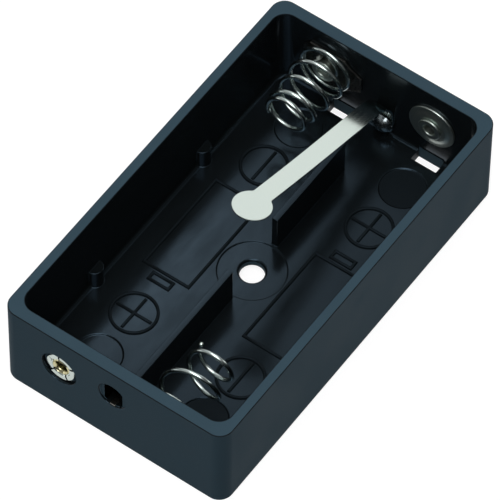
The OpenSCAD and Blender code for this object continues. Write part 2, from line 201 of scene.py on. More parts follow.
def sharp_edges(bm, turn):
    """The edges where a bmesh turns by more than an angle in radians."""
    bm.normal_update()
    return [e for e in bm.edges if e.is_manifold and e.calc_face_angle(0) > turn]


def level_edges(bm, z):
    """The edges of a bmesh that lie at a height."""
    return [e for e in bm.edges if all(abs(v.co.z - z) < 1e-6 for v in e.verts)]


def block(low, high, radius=0.0):
    """A bmesh box between two corners, with its edges rounded."""
    bm = bmesh.new()
    low, high = Vector(low), Vector(high)
    bmesh.ops.create_cube(bm, size=1.0)
    bmesh.ops.scale(bm, vec=high - low, verts=bm.verts[:])
    bmesh.ops.translate(bm, vec=(low + high) / 2, verts=bm.verts[:])
    if radius:
        round_edges(bm, bm.edges[:], radius, 3)
    return bm


def rounded_block(low, high, radius):
    """A bmesh box whose upright edges are rounded."""
    bm = block(low, high)
    upright = [e for e in bm.edges if abs(e.verts[0].co.z - e.verts[1].co.z) > 0.9 * e.calc_length()]
    round_edges(bm, upright, radius, 14)
    return bm


def round_bar(start, end, radius, end_radius=None, segments=64):
    """A bmesh cylinder or cone between two points."""
    start, end = Vector(start), Vector(end)
    axis = end - start
    turn = axis.to_track_quat("Z", "Y").to_matrix().to_4x4()
    bm = bmesh.new()
    bmesh.ops.create_cone(bm, cap_ends=True, segments=segments, radius1=radius,
                          radius2=radius if end_radius is None else end_radius, depth=axis.length,
                          matrix=Matrix.Translation((start + end) / 2) @ turn)
    return bm


def drill(x, z, start, end, radius, segments=64):
    """A bmesh cylinder along Y, from one place to another."""
    return round_bar((x, start, z), (x, end, z), radius, segments=segments)


def turned(profile, steps=64, closed=True):
    """A bmesh of revolution about Z from (radius, height) points."""
    bm = bmesh.new()
    points = [bm.verts.new((r, 0, z)) for r, z in profile]
    edges = [bm.edges.new(pair) for pair in zip(points, points[1:])]
    if closed:
        edges.append(bm.edges.new((points[-1], points[0])))
    bmesh.ops.spin(bm, geom=points + edges, cent=(0, 0, 0), axis=(0, 0, 1), dvec=(0, 0, 0),
                   angle=math.tau, steps=steps, use_merge=True, use_duplicate=False)
    bmesh.ops.remove_doubles(bm, verts=bm.verts[:], dist=SAME_SPOT)
    return bm


def aim(bm, position, axis):
    """Lays a bmesh made about Z along another axis at a position."""
    turn = Vector(axis).to_track_quat("Z", "Y").to_matrix().to_4x4()
    bmesh.ops.transform(bm, matrix=Matrix.Translation(position) @ turn, verts=bm.verts[:])
    return bm


def between(first, last, parts):
    """Evenly spaced values from one to another, both included."""
    return [first + (last - first) * i / parts for i in range(parts + 1)]


def arc(centre, radius, first, last, steps):
    """Points of a profile on an arc, angles in degrees."""
    return [(centre[0] + radius * math.cos(math.radians(turn)),
             centre[1] + radius * math.sin(math.radians(turn))) for turn in between(first, last, steps)]


def wall_face():
    """How far the end walls' inner faces lie from the middle."""
    return TRAY_HIGH.y - bpy.context.scene.holder_tray.end_wall


# ---- sizes and colours -----------------------------------------------------------------------

class TraySizes(bpy.types.PropertyGroup):
    """Sizes of the moulded tray and the marks on its floor"""

    side_wall: length("Side wall", 1.35, "Thickness of the long walls at the rim")
    end_wall: length("End wall", 1.8, "Thickness of the end walls")
    side_draft: length("Side draft", 0.3, "How much thicker the long walls are at the floor")
    floor: length("Floor", 1.75, "Thickness of the floor")
    outer_corner: length("Outer corner", 2.0, "Radius of the outer upright corners")
    inner_corner: length("Inner corner", 2.0, "Radius of the inner upright corners")
    edge: length("Edge rounding", 0.11, "Rounding of the small edges")
    soft: length("Soft edge", 0.08, "Rounding of the ribs and pips")
    rooted: length("Root", 0.3, "How deep the ribs and pips reach into what carries them")
    end_fillet: length("End fillet", 0.6, "Rounding where the end walls meet the floor")
    rib_thickness: length("Rib thickness", 0.9, "Thickness of the rib between the cells")
    rib_top: length("Rib top", 7.4, "Height of the rib's top above the base")
    front_rib_end: length("Front rib end", 4.85, "Where the front rib ends, from the middle")
    rear_rib_start: length("Rear rib start", 4.86, "Where the rear rib begins, from the middle")
    rear_rib_end: length("Rear rib end", 19.9, "Where the rear rib ends, from the middle")
    pip_radius: length("Pip radius", 1.2, "Radius of the locating pips on the long walls")
    pip_height: length("Pip height", 3.0, "Height of the pips above the floor")
    far_pip: length("Far pips", 12.9, "Distance of the pips nearer the corners from the middle")
    near_pip: length("Near pips", 10.4, "Distance of the pips nearer the middle from it")
    screw_hole: length("Screw hole", 3.3, "Diameter of the screw hole")
    hole_chamfer: length("Hole chamfer", 0.25, "Chamfer at the top of the screw hole")
    hole_land: length("Hole land", 0.8, "Straight length of the screw hole")
    countersink: length("Countersink", 0.9, "How far the underside's countersink widens the hole")
    screw_recess: length("Screw seat", 9.1, "Diameter of the seat round the screw hole")
    screw_recess_depth: length("Seat depth", 0.15, "Depth of the seat")
    ejector: length("Ejector rounds", 6.2, "Diameter of the ejector rounds in the floor")
    ejector_depth: length("Ejector depth", 0.15, "Depth of the ejector rounds")
    ejector_y: length("Ejector place", 21.8, "Distance of the ejector rounds from the middle")
    window_length: length("Floor window length", 3.85, "Length of the floor windows")
    window_width: length("Floor window width", 1.85, "Width of the floor windows")
    left_window: place("Left floor window", -5.1, "Middle of the left floor window")
    right_window: place("Right floor window", 8.28, "Middle of the right floor window")
    stroke: length("Stroke width", 0.42, "Width of the raised lines on the floor")
    stroke_height: length("Stroke height", 0.26, "Height of the raised lines on the floor")
    sign_ring: length("Sign ring", 3.28, "Radius of the ring round a polarity sign")
    sign_bar: length("Sign bar", 5.3, "Length of a sign's bar along the cell")
    sign_crossbar: length("Sign crossbar", 5.4, "Length of a plus sign's bar across the cell")


class ContactSizes(bpy.types.PropertyGroup):
    """Sizes of the contacts, their eyelets and what they sit in"""

    across: length("Contact place", 8.2, "Distance of the contacts from the middle")
    height: length("Contact height", 8.3, "Height of the contacts above the base")
    sheet: length("Sheet", 0.3, "Thickness of the sheet contacts")
    seat: length("Seat", 0.02, "Clearance between pieces that lie on each other")
    disc: length("Disc", 7.0, "Diameter of the round contacts")
    dish: length("Dish", 0.25, "How far a disc's middle stands up from its rim")
    shank: length("Eyelet", 2.4, "Diameter of the eyelets")
    bore: length("Eyelet bore", 1.8, "Diameter of the bore through the eyelets")
    head: length("Eyelet head", 3.4, "Diameter of the eyelets' rolled heads")
    head_thickness: length("Head thickness", 0.35, "Thickness of the rolled heads")
    flare: length("Flare", 4.4, "Diameter of the flared solder terminal")
    flare_height: length("Flare height", 0.45, "Height of the flared rim")
    recess: length("Terminal sinking", 5.3, "Diameter of the flared terminal's sinking")
    recess_depth: length("Sinking depth", 0.8, "Depth of the terminals' sinkings")
    lug_recess: length("Lug sinking", 4.2, "Diameter of the solder lug's sinking")
    lug_recess_depth: length("Lug sinking depth", 0.3, "Depth of the solder lug's sinking")
    lug_x: place("Lug sinking place", 0.0, "Place of the solder lug's sinking")
    lug_z: place("Lug sinking height", 9.5, "Height of the solder lug's sinking")
    lug_window: length("Lug window", 2.5, "Width of the solder lug's window")
    lug_window_x: place("Lug window place", 0.05, "Middle of the solder lug's window")
    lug_window_height: length("Lug window height", 4.1, "Height of the solder lug's window")
    channel: length("Link channel", 0.65, "Depth of the link strip's channel")
    link: length("Link strip", 4.6, "Height of the link strip")


class SpringSizes(bpy.types.PropertyGroup):
    """Sizes of the two coil springs"""

    wire: length("Wire", 0.6, "Diameter of the spring wire")
    back_base: length("Back base", 3.6, "Radius of the back spring at its base")
    back_tip: length("Back tip", 2.75, "Radius of the back spring at its free end")
    back_pitch: length("Back pitch", 2.8, "Rise of one open turn of the back spring")
    back_turns: number("Back turns", 3.1, "Open turns of the back spring")
    back_end_turns: number("Back end turns", 1.0, "End turns of the back spring")
    back_end_pitch: length("Back end pitch", 0.65, "Rise of one end turn of the back spring")
    front_base: length("Front base", 3.75, "Radius of the front spring at its base")
    front_tip: length("Front tip", 2.75, "Radius of the front spring at its free end")
    front_pitch: length("Front pitch", 4.55, "Rise of one open turn of the front spring")
    front_turns: number("Front turns", 1.6, "Open turns of the front spring")
    front_end_turns: number("Front end turns", 1.05, "End turns of the front spring")
    front_end_pitch: length("Front end pitch", 1.7, "Rise of one end turn of the front spring")


class StrapSizes(bpy.types.PropertyGroup):
    """Sizes of the retaining strap and its rivet"""

    across: place("Strap place", 0.85, "Distance of the strap from the middle")
    width: length("Width", 2.72, "Width of the strap")
    sheet: length("Thickness", 0.25, "Thickness of the strap")
    rise: angle("Rise", 18.5, "Angle at which the strap rises")
    bow: angle("Bow", 2.0, "How much flatter the leaf starts, and how much steeper it ends")
    bend: length("Bend", 5.85, "Radius of the bend at the strap's root")
    leaf: length("Leaf", 24.45, "Straight length between the bend and the kink")
    kink: length("Kink", 3.0, "Radius of the kink before the round end")
    neck: length("Neck", 0.5, "Radius of the fillets where the strip meets the round end")
    tip_reach: length("Tip reach", 2.4, "From the kink to the middle of the round end")
    tip: length("Round end", 5.2, "Diameter of the round end")
    tip_rise: angle("Round end's rise", 12.0, "Angle at which the round end rises")
    foot_rise: length("Foot", 1.25, "Straight part of the foot above the rivet")
    rivet_z: length("Rivet height", 3.5, "Height of the rivet above the base")
    rivet_head: length("Rivet head", 3.2, "Diameter of the rivet's domed head")
    rivet_dome: length("Rivet dome", 1.2, "Height of the rivet's domed head")
    rivet_shank: length("Rivet shank", 1.5, "Diameter of the rivet's shank")


class Finishes(bpy.types.PropertyGroup):
    """Colours of the materials"""

    plastic: colour("Plastic", "#0e1112", "Black moulded plastic where it is polished")
    blasted: colour("Blasted plastic", "#394c57", "The same plastic where its face is blasted")
    plastic_sheen: colour("Plastic reflections", "#b8e0ff", "Tint of the plastic's reflections")
    nickel: colour("Nickel", "#bac4be", "Nickel plated sheet")
    dulled: colour("Dulled nickel", "#62625e", "Nickel plated strip that has dulled")
    wire: colour("Spring wire", "#d2dedc", "Bright plated wire")
    brass: colour("Brass", "#d6d0a6", "Bare brass in the bores of the eyelets")
    strap: colour("Strap", "#e8f4ed", "Bright rolled steel strip")
    rivet: colour("Rivet", "#a0aaae", "Dull plated rivet")
    backdrop: colour("Backdrop", "#ffffff", "Floor and surroundings")


GROUPS = {"holder_tray": TraySizes, "holder_contacts": ContactSizes, "holder_springs": SpringSizes,
          "holder_strap": StrapSizes, "holder_finishes": Finishes}


# ---- materials -------------------------------------------------------------------------------

def add_node(tree, kind, links=None, **settings):
    """Adds a node; links maps its sockets to outputs or values."""
    node = tree.nodes.new(kind)
    for name, value in settings.items():
        setattr(node, name, value)
    for socket, value in (links or {}).items():
        if isinstance(value, bpy.types.NodeSocket):
            tree.links.new(value, node.inputs[socket])
        else:
            node.inputs[socket].default_value = value
    return node


def new_material(name):
    """A material with its nodes, or with none when it has been made before."""
    material = bpy.data.materials.get(name)
    if material:
        return material, None, None
    material = bpy.data.materials.new(name)
    material.use_nodes = True
    tree = material.node_tree
    return material, tree, tree.nodes["Principled BSDF"]


def noise_at(tree, size, detail=3.0, roughness=0.55, stretch=(1, 1, 1)):
    """Noise on object coordinates whose grain is about size across."""
    where = add_node(tree, "ShaderNodeTexCoord").outputs["Object"]
    spot = add_node(tree, "ShaderNodeMapping", {"Vector": where, "Scale": stretch})
    return add_node(tree, "ShaderNodeTexNoise", {"Vector": spot.outputs[0], "Scale": 1 / size,
                                                 "Detail": detail, "Roughness": roughness})


def weather(tree, shader, tints, cloud, roughs, gloss, relief, strength, depth):
    """Clouds a surface between two tints, varies its roughness, and raises its grain."""
    mix = add_node(tree, "ShaderNodeMix", {"Factor": cloud.outputs["Fac"]}, data_type="RGBA")
    for socket, tint in zip("AB", tints):
        mix.inputs[socket].default_value = (*tint, 1)
    rough = add_node(tree, "ShaderNodeMapRange",
                     {"Value": gloss.outputs["Fac"], "From Min": 0.35, "From Max": 0.65,
                      "To Min": roughs[0], "To Max": roughs[1]})
    bump = add_node(tree, "ShaderNodeBump", {"Height": relief.outputs["Fac"], "Strength": strength,
                                             "Distance": depth})
    tree.links.new(mix.outputs["Result"], shader.inputs["Base Color"])
    tree.links.new(rough.outputs["Result"], shader.inputs["Roughness"])
    tree.links.new(bump.outputs["Normal"], shader.inputs["Normal"])


def moulded_plastic(face):
    """Black polystyrene. The inside comes off a polished core, so it mirrors the room and is dark
    where the room is. The blasted outside spreads the light, so it looks paler, even and bluish.
    Marks and the holes' walls are etched: they stay dark from all sides. The rim's rounded edges get the
    same dark finish as painted shade, a dark line along the rim."""
    finishes = bpy.context.scene.holder_finishes
    material, tree, shader = new_material(face + "_polystyrene")
    if tree is None:
        return material
    shader.inputs["IOR"].default_value = 1.55
    shader.inputs["Specular Tint"].default_value = (*finishes.plastic_sheen, 1)
    level = {"blasted": 0.02, "polished": 0.4, "etched_and_shaded": 0.15}[face]
    shader.inputs["Specular IOR Level"].default_value = level
    cloud = noise_at(tree, 6 * MM, 4)
    base = Vector(finishes.blasted if face == "blasted" else finishes.plastic)
    if face == "polished":
        gloss, roughs = noise_at(tree, 2.5 * MM, 5, 0.6, (1, 0.35, 1)), (0.16, 0.24)
        # slow waves of a moulded face, 3 mm across
        relief, strength = noise_at(tree, 3 * MM, 2, 0.5), 0.2
    else:
        gloss, roughs = cloud, (0.5, 0.58)
        # 0.12 mm blasted grain, drawn at 0.3 mm so that it shows
        relief, strength = noise_at(tree, 0.3 * MM, 2), 0.12
    weather(tree, shader, (base * 0.9, base * 1.1), cloud, roughs, gloss, relief, strength, 0.01 * MM)
    return material


EVEN, DRAWN = (1, 1, 1), (1, 0.04, 0.04)        # scratched all ways, or along the strip

# each metal's colour, roughness, the width and depth of its scratches in mm, how far it darkens
# in patches, and which way it is scratched
METALS = {
    # nickel plate on steel sheet, dulled by handling: soft grey reflections
    "nickel_plated_sheet": ("nickel", 0.36, 0.15, 0.001, 0.08, EVEN),
    # the same plate, worn by tumbling: a dark, uneven grey
    "dulled_nickel_strip": ("dulled", 0.3, 0.2, 0.004, 0.3, EVEN),
    # nickel plate that the flaring tool has smoothed: bright petals with sharp glints
    "bright_nickel_petals": ("nickel", 0.16, 0.2, 0.006, 0.1, EVEN),
    # brass where the eyelet's plating has worn through: pale yellow, with brown patches
    "bare_brass": ("brass", 0.17, 0.15, 0.004, 0.5, EVEN),
    # drawn and plated wire: long white glints on dark turns
    "plated_spring_wire": ("wire", 0.19, 0.25, 0.002, 0.04, EVEN),
    # the wire's free end, rounded by tumbling: one white spot
    "sheared_wire_end": ("strap", 0.22, 0.1, 0.004, 0.05, EVEN),
    # cold rolled spring strip: a flat mirror, a little blurred along its length
    "rolled_spring_steel": ("strap", 0.14, 0.12, 0.0008, 0.02, DRAWN),
    # zinc plate on the rivet's pressed dome: blue-grey, with a small bright spot
    "dull_plated_rivet": ("rivet", 0.24, 0.2, 0.004, 0.2, EVEN),
}


def metal(name):
    """A plated or rolled metal: its colour and gloss vary a little, with fine scratches."""
    tint, roughness, width, depth, tarnish, way = METALS[name]
    material, tree, shader = new_material(name)
    if tree is None:
        return material
    shader.inputs["Metallic"].default_value = 1.0
    cloud = noise_at(tree, 1.2 * MM, 4)
    base = Vector(getattr(bpy.context.scene.holder_finishes, tint))
    lines = noise_at(tree, width * MM, 3, 0.6, way)
    weather(tree, shader, (base * (1 - tarnish), base), cloud, (roughness * 0.8, roughness * 1.25),
            lines, lines, 0.3, depth * MM)
    return material


# ---- pieces ----------------------------------------------------------------------------------

def tray_body(tray):
    """The tray with its walls, ribs and pips, before its holes are cut."""
    end_y, side_x = wall_face(), TRAY_HIGH.x - tray.side_wall
    shell = loose_object(rounded_block(TRAY_LOW, TRAY_HIGH, tray.outer_corner))
    # the core that leaves the inside narrows towards the floor, and its lower edge is round
    above = TRAY_HIGH.z + PAST
    core = rounded_block((-side_x, -end_y, tray.floor), (side_x, end_y, above), tray.inner_corner)
    deep = TRAY_HIGH.z - tray.floor
    for vert in core.verts:
        vert.co.x -= math.copysign(tray.side_draft * (TRAY_HIGH.z - vert.co.z) / deep, vert.co.x)
    core.normal_update()
    round_edges(core, level_edges(core, tray.floor), tray.end_fillet, 6)
    shell = combine(shell, [core], "DIFFERENCE")

    half, bottom = tray.rib_thickness / 2, tray.floor - tray.rooted
    added = [block((-half, start, bottom), (half, end, tray.rib_top), tray.soft)
             for start, end in ((-end_y - tray.rooted, -tray.front_rib_end),
                                (tray.rear_rib_start, tray.rear_rib_end))]
    foot_x, pip_top = side_x - tray.side_draft, tray.floor + tray.pip_height
    for side in (-1, 1):
        for y in (-tray.far_pip, tray.near_pip):
            pip = round_bar((side * foot_x, -side * y, bottom), (side * foot_x, -side * y, pip_top),
                            tray.pip_radius, segments=40)
            round_edges(pip, level_edges(pip, pip_top), tray.soft, 3)
            added.append(pip)
    return combine(shell, added, "UNION")


def floor_holes(tray, contacts):
    """The tools for the screw hole, its seat, the ejector rounds and the floor's windows."""
    sink = tray.floor - tray.screw_recess_depth
    land_top = sink - tray.hole_chamfer
    land_bottom = land_top - tray.hole_land
    screw, above = tray.screw_hole / 2, 3 * MM
    holes = [round_bar((0, 0, -PAST), (0, 0, above), screw),
             round_bar((0, 0, sink), (0, 0, above), tray.screw_recess / 2, segments=96),
             round_bar((0, 0, land_top), (0, 0, sink + PLAY), screw, screw + tray.hole_chamfer + PLAY),
             round_bar((0, 0, -PLAY), (0, 0, land_bottom), screw + tray.countersink, screw)]
    # the ejector rounds' walls lean outward
    bottom, top, wider = tray.floor - tray.ejector_depth, tray.floor + 0.5 * MM, 0.25 * MM
    for x in (-contacts.across, contacts.across):
        for y in (-tray.ejector_y, tray.ejector_y):
            holes.append(round_bar((x, y, bottom), (x, y, top), tray.ejector / 2,
                                   tray.ejector / 2 + wider, 72))
    end_y, half = wall_face(), tray.window_length / 2
    return holes + [block((middle - half, end_y - tray.window_width, -PAST),
                          (middle + half, end_y + 0.01 * MM, tray.floor + tray.end_fillet))
                    for middle in (tray.left_window, tray.right_window)]


def wall_holes(contacts, strap):
    """The tools for the end walls' bores and sinkings and for the link strip's channel."""
    far, front, within = TRAY_HIGH.y + PAST, TRAY_LOW.y - PAST, wall_face() - PAST
    across, height = contacts.across, contacts.height
    eye, rivet = contacts.shank / 2 + PLAY, strap.rivet_shank / 2
    channel_y, link = TRAY_HIGH.y - contacts.channel, contacts.link / 2 + ROOM
    lug_x, lug_z, lug = contacts.lug_x, contacts.lug_z, contacts.lug_recess / 2
    holes = [drill(side * across, height, within, far, eye) for side in (-1, 1)]
    holes.append(block((-across, channel_y, height - link), (across, far, height + link)))
    holes += [drill(side * across, height, channel_y, far, link) for side in (-1, 1)]
    holes += [drill(strap.across, strap.rivet_z, within, far, rivet + PLAY, 40),
              drill(strap.across, strap.rivet_z, channel_y, far, rivet + UPSET + ROOM, 48),
              drill(-across, height, front, -within, eye),
              drill(-across, height, TRAY_LOW.y + contacts.recess_depth, front, contacts.recess / 2, 72),
              drill(lug_x, lug_z, TRAY_LOW.y + contacts.lug_recess_depth, front, lug, 72)]
    # the lug's window is as round as its sinking, with four flat sides
    window = drill(lug_x, lug_z, front, -within, lug, 72)
    half_wide, half_tall = contacts.lug_window / 2, contacts.lug_window_height / 2
    for x, z, way in ((lug_x + contacts.lug_window_x + half_wide, 0, (1, 0, 0)),
                      (lug_x + contacts.lug_window_x - half_wide, 0, (-1, 0, 0)),
                      (0, lug_z + half_tall, (0, 0, 1)), (0, lug_z - half_tall, (0, 0, -1))):
        cut = bmesh.ops.bisect_plane(window, geom=window.verts[:] + window.edges[:] + window.faces[:],
                                     plane_co=(x, 0, z), plane_no=way, clear_outer=True)
        rim = [e for e in cut["geom_cut"] if isinstance(e, bmesh.types.BMEdge)]
        bmesh.ops.edgeloop_fill(window, edges=rim)
    return holes + [window]


def split_finishes(mesh, tray, contacts):
    """Says which of the tray's faces are blasted (0), polished (1) and etched (2); the rim's rounded edges
    join the etched ones as painted shade.
    """
    hair = 0.02 * MM        # a wall's own face still counts as inside
    inner_x, inner_y = TRAY_HIGH.x - tray.side_wall + hair, wall_face() + hair
    polished_from, pin_floor = tray.floor - 0.4 * MM, tray.floor - tray.ejector_depth / 2
    for face in mesh.polygons:
        spot, facing = face.center, face.normal
        inside = abs(spot.x) < inner_x and abs(spot.y) < inner_y and spot.z > polished_from
        # the rim's rounded edges wear the dark etched finish instead of the pale blasted one: painted
        # shade along the rim
        painted_shade_rim_edge = spot.z > TRAY_HIGH.z - 1.1 * tray.edge and 0.1 < facing.z < 0.97
        in_sinking = (TRAY_LOW.y + PLAY < spot.y < -inner_y and abs(spot.x) < inner_x
                      and abs(facing.y) < 0.7
                      and contacts.height - 4 * MM < spot.z < TRAY_HIGH.z - tray.edge)
        lowest = min(mesh.vertices[i].co.z for i in face.vertices)
        cut_through = inside and lowest < tray.floor / 2
        # the right bay's ejector pins left duller rounds; the screw's seat is as deep, but polished
        pin_round = (inside and spot.x > 0 and abs(spot.y) > tray.screw_recess and facing.z > 0.9
                     and spot.z < pin_floor)
        if painted_shade_rim_edge or cut_through or pin_round:
            face.material_index = 2
        elif inside and spot.z < TRAY_HIGH.z - 2 * tray.edge or in_sinking:
            face.material_index = 1
        else:
            face.material_index = 0


class HOLDER_OT_tray(bpy.types.Operator):
    """Builds the moulded tray with its walls, ribs, pips, sinkings and holes"""
    bl_idname = "holder.tray"
    bl_label = "Tray"

    def execute(self, context):
        tray, contacts = context.scene.holder_tray, context.scene.holder_contacts
        holes = floor_holes(tray, contacts) + wall_holes(contacts, context.scene.holder_strap)
        shell = combine(tray_body(tray), holes, "DIFFERENCE")
        soften = shell.modifiers.new("Small edges", "BEVEL")
        soften.width = tray.edge
        soften.segments = 2
        soften.limit_method = "ANGLE"
        soften.angle_limit = math.radians(40)
        soften.use_clamp_overlap = False
        mesh = baked(shell)
        finishes = [moulded_plastic(face) for face in ("blasted", "polished", "etched_and_shaded")]
        finish_mesh("moulded_tray", mesh, finishes, smooth=50, replaces=["housing"])
        split_finishes(mesh, tray, contacts)
        return {"FINISHED"}


# each polarity sign's middle in mm, and whether it is a plus
SIGNS = ((-8.3, -14.1, True), (8.3, 14.15, True), (-8.3, 14.25, False), (8.35, -14.15, False))
# corners of the right cell's outline and of its cap's, in mm; the left cell is half a turn round
OUTLINES = (((4.8, -9.0), (12.2, -9.0), (12.2, 7.1), (4.8, 7.1)),
            ((6.7, 7.35), (10.2, 7.35), (10.2, 8.9), (6.7, 8.9)))
MARK_ROOT = 0.03 * MM       # how deep the marks reach into the floor


class HOLDER_OT_marks(bpy.types.Operator):
    """Raises the polarity signs and the cell outlines on the floor"""
    bl_idname = "holder.marks"
    bl_label = "Floor marks"

    def execute(self, context):
        tray = context.scene.holder_tray
        stroke, rise = tray.stroke, tray.stroke_height
        base = tray.floor - MARK_ROOT
        whole = bmesh.new()

        def raised(bm, hollow):
            """Makes a line of the outline's width, or a bar, and rounds its top."""
            bm.normal_update()
            if hollow:
                middle = bm.faces[:]
                bmesh.ops.inset_region(bm, faces=middle, thickness=stroke, use_even_offset=True,
                                       use_boundary=True)
                bmesh.ops.delete(bm, geom=middle, context="FACES")
            up = bmesh.ops.extrude_face_region(bm, geom=bm.faces[:], use_keep_orig=True)
            top = [v for v in up["geom"] if isinstance(v, bmesh.types.BMVert)]
            bmesh.ops.translate(bm, vec=(0, 0, rise + MARK_ROOT), verts=top)
            crest = [e for e in sharp_edges(bm, 0.8) if all(v.co.z > base + rise / 2 for v in e.verts)]
            round_edges(bm, crest, 0.45 * stroke, 4)
            mesh = mesh_from(bm, "mark")
            whole.from_mesh(mesh)
            bpy.data.meshes.remove(mesh)

        def bar(x, y, long, wide):
            bm = bmesh.new()
            bmesh.ops.create_grid(bm, x_segments=1, y_segments=1, size=0.5,
                                  matrix=Matrix.Translation((x, y, base)))
            bmesh.ops.scale(bm, vec=(wide, long, 1), verts=bm.verts[:],
                            space=Matrix.Translation((-x, -y, 0)))
            raised(bm, False)

        for x, y, plus in SIGNS:
            bm = bmesh.new()
            bmesh.ops.create_circle(bm, cap_ends=True, radius=tray.sign_ring, segments=96,
                                    matrix=Matrix.Translation((x * MM, y * MM, base)))
            raised(bm, True)
            bar(x * MM, y * MM, tray.sign_bar, stroke)
            if plus:
                bar(x * MM, y * MM, stroke, tray.sign_crossbar)
        for turn in (MM, -MM):
            for corners in OUTLINES:
                bm = bmesh.new()
                bm.faces.new([bm.verts.new((x * turn, y * turn, base)) for x, y in corners])
                raised(bm, True)
        finish_piece("floor_marks", whole, [moulded_plastic("etched_and_shaded")], smooth=60)
        return {"FINISHED"}


def eyelet_profile(contacts, grip, flared=False):
    """Half section of a rolled eyelet as (radius, height): head below zero, tail above grip."""
    bore, shank, head = contacts.bore / 2, contacts.shank / 2, contacts.head / 2
    roll = contacts.head_thickness / 2
    rim = arc((head - roll, -roll), roll, 90, -90, 8)
    mouth = arc((bore + roll, -roll), roll, -90, -180, 5)
    points = [(shank, 0)] + rim + mouth
    if flared:
        flare, top = contacts.flare / 2, grip + contacts.flare_height
        # the bore widens, and a shallow groove runs round its mouth
        points += arc((bore + 0.4 * MM, grip - 0.05 * MM), 0.4 * MM, 180, 120, 4)
        points += [(bore + 0.28 * MM, top - 0.02 * MM), (bore + 0.4 * MM, top - 0.14 * MM),
                   (bore + 0.52 * MM, top - 0.14 * MM), (bore + 0.62 * MM, top - 0.02 * MM)]
        points += [(flare - 0.3 * MM, top), (flare - 0.08 * MM, top - 0.02 * MM),
                   (flare, top - 0.12 * MM), (flare - 0.08 * MM, top - 0.28 * MM)]
        points += arc((shank + 0.25 * MM, grip - 0.03 * MM), 0.25 * MM, 90, 180, 4)
    else:
        tail = head - 0.12 * MM
        points.append((bore, grip + 0.15 * MM))
        points += arc((bore + 0.15 * MM, grip + 0.15 * MM), 0.15 * MM, 180, 90, 3)
        points += arc((tail - 0.14 * MM, grip + 0.16 * MM), 0.14 * MM, 90, -80, 6) + [(shank, grip)]
    return points


# where the flared rim splits, in degrees, and how wide, in mm; how far each petal bends out, in mm
SLITS = ((25, 0.2), (97, 0.16), (150, 0.22), (226, 0.18), (301, 0.24))
PETALS = (0.05, -0.1, 0.03, -0.06, 0.08)


class HOLDER_OT_eyelets(bpy.types.Operator):
    """Rolls the four eyelets, one of them flared into petals outside as a solder terminal"""
    bl_idname = "holder.eyelets"
    bl_label = "Eyelets"

    def execute(self, context):
        contacts = context.scene.holder_contacts
        end_y, wire = wall_face(), context.scene.holder_springs.wire
        seat, sheet = contacts.seat, contacts.sheet
        on_spring = end_y - 3 * seat - sheet - wire
        on_disc = end_y - 2 * seat - contacts.dish - sheet
        through = TRAY_HIGH.y - contacts.channel + 2 * seat + sheet
        x, z = contacts.across, contacts.height
        for node, spot, way, grip in (
                ("back_spring_eyelet", (-x, on_spring, z), 1, through - on_spring),
                ("right_disc_eyelet", (x, on_disc, z), 1, through - on_disc),
                ("front_spring_eyelet", (x, -on_spring, z), -1, end_y - on_spring)):
            bm = aim(turned(eyelet_profile(contacts, grip)), spot, (0, way, 0))
            finish_piece(node + "_rolled", bm, [metal("nickel_plated_sheet")],
                         replaces=[node])
        grip = TRAY_HIGH.y - contacts.recess_depth + seat - on_disc
        bm = self.split(contacts, turned(eyelet_profile(contacts, grip, True), 96), grip)
        aim(bm, (-x, -on_disc, z), (0, -1, 0))
        finish_piece("flared_terminal", bm, [metal("bright_nickel_petals"), metal("bare_brass")],
                     replaces=["terminal_eyelet"])
        return {"FINISHED"}

    def split(self, contacts, flared, grip):
        """Slits the flared rim into petals, bends each a little, and bares the bore's brass."""
        shank, slits = contacts.shank / 2, []
        for turn, wide in SLITS:
            tool = block((shank + 0.1 * MM, -wide * MM / 2, grip - 0.1 * MM),
                         (contacts.flare, wide * MM / 2, grip + PAST))
            bmesh.ops.rotate(tool, cent=(0, 0, 0), matrix=Matrix.Rotation(math.radians(turn), 3, "Z"),
                             verts=tool.verts[:])
            slits.append(tool)
        bm = bmesh_from(baked(combine(loose_object(flared), slits, "DIFFERENCE")))
        for vert in bm.verts:
            if vert.co.z > grip and vert.co.xy.length > shank:
                turn = math.degrees(math.atan2(vert.co.y, vert.co.x)) % 360
                petal = sum(turn > edge for edge, _ in SLITS) % len(PETALS)
                reach = (vert.co.xy.length - shank) / (contacts.flare / 2 - shank)
                vert.co.z += reach * PETALS[petal] * MM
        bm.normal_update()
        brass_to = contacts.bore / 2 + 0.45 * MM
        for face in bm.faces:
            face.material_index = int(face.calc_center_median().xy.length < brass_to)
        return bm


class HOLDER_OT_discs(bpy.types.Operator):
    """Presses the two dished positive contacts"""
    bl_idname = "holder.discs"
    bl_label = "Dished contacts"

    def execute(self, context):
        contacts = context.scene.holder_contacts
        hole, rim = contacts.shank / 2 + PLAY, contacts.disc / 2
        dish, sheet = contacts.dish, contacts.sheet
        flat = contacts.head / 2 + 0.3 * MM
        curve = [(hole, dish), (flat, dish)]
        # the dish falls to the rim along a wave
        curve += [(flat + (rim - 0.4 * MM - flat) * t / 6,
                   dish * (0.5 + 0.5 * math.cos(math.pi * t / 6))) for t in range(1, 7)]
        curve.append((rim - 0.05 * MM, 0))
        back = [(r, z + sheet) for r, z in reversed(curve)]
        edge = arc((rim - 0.08 * MM, sheet / 2), 0.08 * MM, -60, 60, 3)
        for side, name in ((1, "right"), (-1, "left")):
            spot = (side * contacts.across, side * (wall_face() - contacts.seat), contacts.height)
            bm = aim(turned(curve + edge + back, 96), spot, (0, -side, 0))
            finish_piece(name + "_contact_disc", bm, [metal("nickel_plated_sheet")],
                         replaces=[name + "_disc"])
        return {"FINISHED"}


